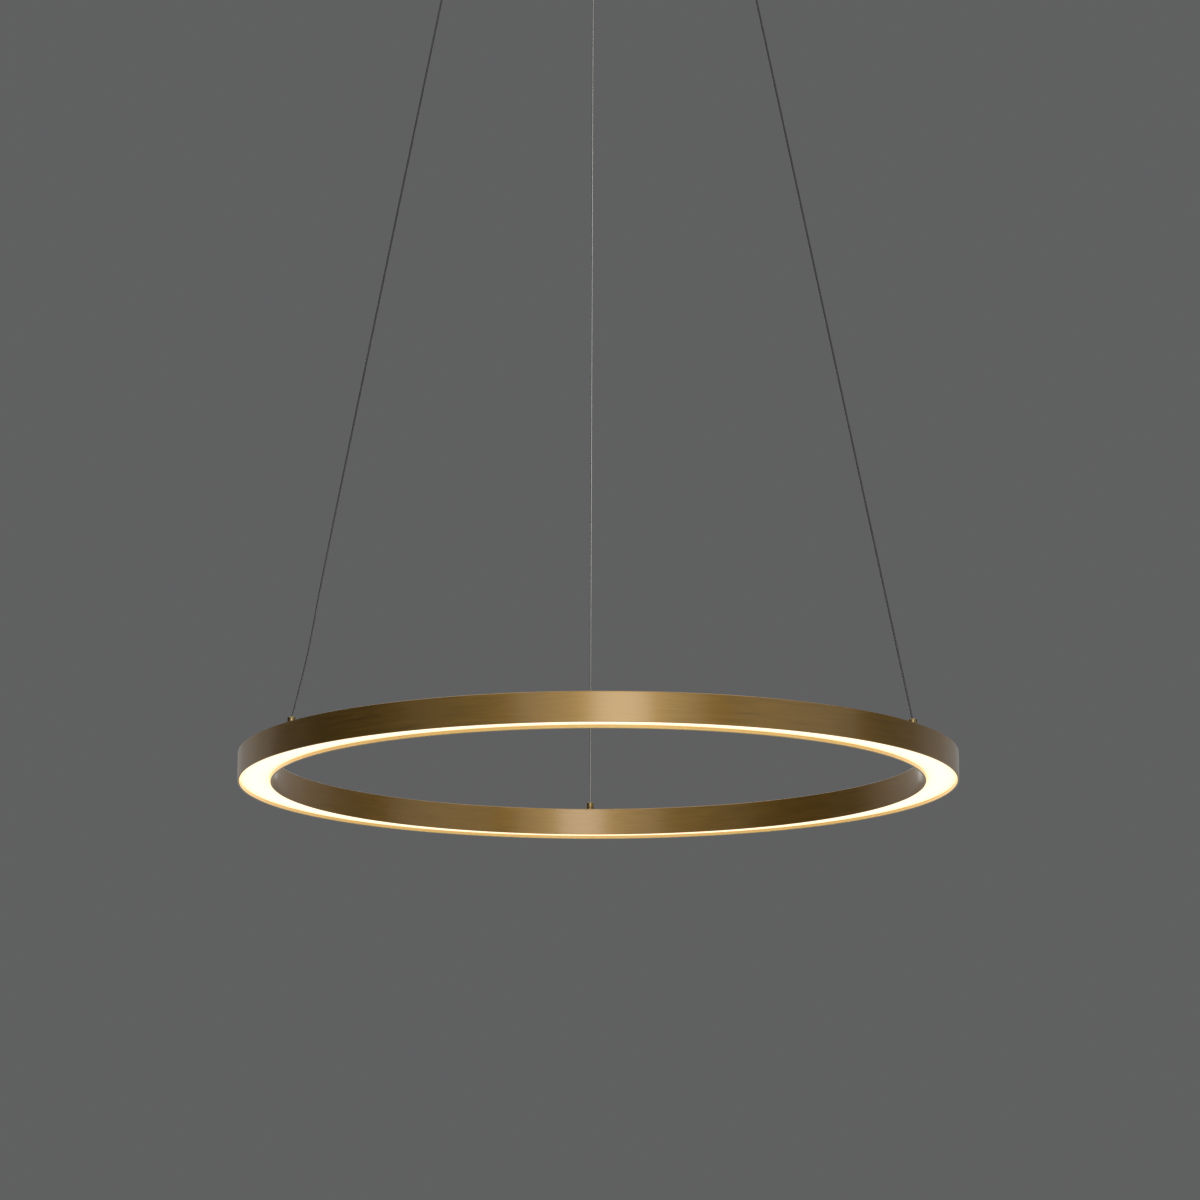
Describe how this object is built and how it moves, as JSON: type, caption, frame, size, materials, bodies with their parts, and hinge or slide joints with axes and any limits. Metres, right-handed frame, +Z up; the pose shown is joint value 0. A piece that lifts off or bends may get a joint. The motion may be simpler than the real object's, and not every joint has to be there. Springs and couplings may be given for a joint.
{
  "type": "led pendant light",
  "caption": "Slim ring-shaped LED pendant light in brushed brass-coloured metal with an opal diffuser below, hung on thin wires from a round ceiling canopy with height grippers.",
  "frame": {"origin": "centre of the ceiling plate's upper face, on the ceiling, above the ring's centre", "axes": "+Z up to the ceiling, -Y towards the viewer of the picture, +X to the viewer's right"},
  "size_m": [0.5999, 0.6, 0.977],
  "materials": {
    "brushed_ring": "brass-coloured anodising, brushed round the ring",
    "canopy_metal": "brass plating, spun and brushed",
    "turned_brass": "turned, fine tool lines",
    "opal": "satin opal acrylic, lit from inside",
    "wire_steel": "stranded steel",
    "zinc_steel": "zinc plated",
    "tinned_copper": "tinned",
    "nylon": "natural nylon",
    "driver_shell": "fine moulded texture",
    "circuit_board": "satin solder mask",
    "ferrite": "matt",
    "capacitor_sleeve": "shrink sleeve",
    "terminal_plastic": "moulded",
    "led_board_white": "white solder mask on an aluminium core",
    "phosphor": "phosphor in a white case",
    "mains_sheath": "PVC",
    "output_sheath": "PVC",
    "earth_sheath": "PVC",
    "ring_sheath": "silicone"
  },
  "bodies": {
    "canopy": {"ceiling_plate": "zinc_steel", "canopy_cover": "canopy_metal", "canopy_screws": "canopy_metal", "gripper_bushes": "nylon", "gripper_washers": "nylon", "gripper_nuts": "zinc_steel", "tail_sleeves": "tinned_copper", "driver_case": "driver_shell", "driver_lid": "driver_shell", "driver_board": "circuit_board", "driver_transformer": "ferrite", "driver_capacitors": "capacitor_sleeve", "terminal_block": "terminal_plastic", "terminal_screws": "zinc_steel", "plate_screws": "zinc_steel", "earth_screw": "zinc_steel", "earth_tag": "tinned_copper", "earth_lead": "earth_sheath", "mains_leads": "mains_sheath", "output_leads": "output_sheath", "gripper_housing_1": "turned_brass", "gripper_housing_2": "turned_brass", "gripper_housing_3": "turned_brass", "gripper_stem_1": "zinc_steel", "gripper_stem_2": "zinc_steel", "gripper_stem_3": "zinc_steel", "gripper_spring_1": "zinc_steel", "gripper_spring_2": "zinc_steel", "gripper_spring_3": "zinc_steel", "suspension_wire_1": "wire_steel", "suspension_wire_2": "wire_steel", "suspension_wire_3": "wire_steel"},
    "ring": {"ring_channel": "brushed_ring", "diffuser": "opal", "led_chips": "phosphor", "board_screws": "zinc_steel", "nipple_bushes": "nylon", "nipple_washers": "nylon", "nipple_nuts": "zinc_steel", "feed_leads": "ring_sheath", "board_jumpers": "ring_sheath", "led_board_1": "led_board_white", "led_board_2": "led_board_white", "led_board_3": "led_board_white", "wire_nipple_1": "turned_brass", "wire_nipple_2": "turned_brass", "wire_nipple_3": "turned_brass", "wire_stop_1": "tinned_copper", "wire_stop_2": "tinned_copper", "wire_stop_3": "tinned_copper"},
    "plunger_1": {"gripper_plunger_1": "turned_brass", "gripper_balls_1": "zinc_steel"},
    "plunger_2": {"gripper_plunger_2": "turned_brass", "gripper_balls_2": "zinc_steel"},
    "plunger_3": {"gripper_plunger_3": "turned_brass", "gripper_balls_3": "zinc_steel"}
  },
  "joints": [
    {"name": "height_adjust", "type": "slide", "parent": "canopy", "child": "ring", "axis": [0, 0, 1], "range_m": [0, 0.4], "deforming": ["suspension_wire_1", "suspension_wire_2", "suspension_wire_3"]},
    {"name": "gripper_press_1", "type": "slide", "parent": "canopy", "child": "plunger_1", "axis": [0, 0, 1], "range_m": [0, 0.002], "stiffness_N_per_m": 300, "springref_m": -0.004, "deforming": ["gripper_spring_1"]},
    {"name": "gripper_press_2", "type": "slide", "parent": "canopy", "child": "plunger_2", "axis": [0, 0, 1], "range_m": [0, 0.002], "stiffness_N_per_m": 300, "springref_m": -0.004, "deforming": ["gripper_spring_2"]},
    {"name": "gripper_press_3", "type": "slide", "parent": "canopy", "child": "plunger_3", "axis": [0, 0, 1], "range_m": [0, 0.002], "stiffness_N_per_m": 300, "springref_m": -0.004, "deforming": ["gripper_spring_3"]}
  ]
}
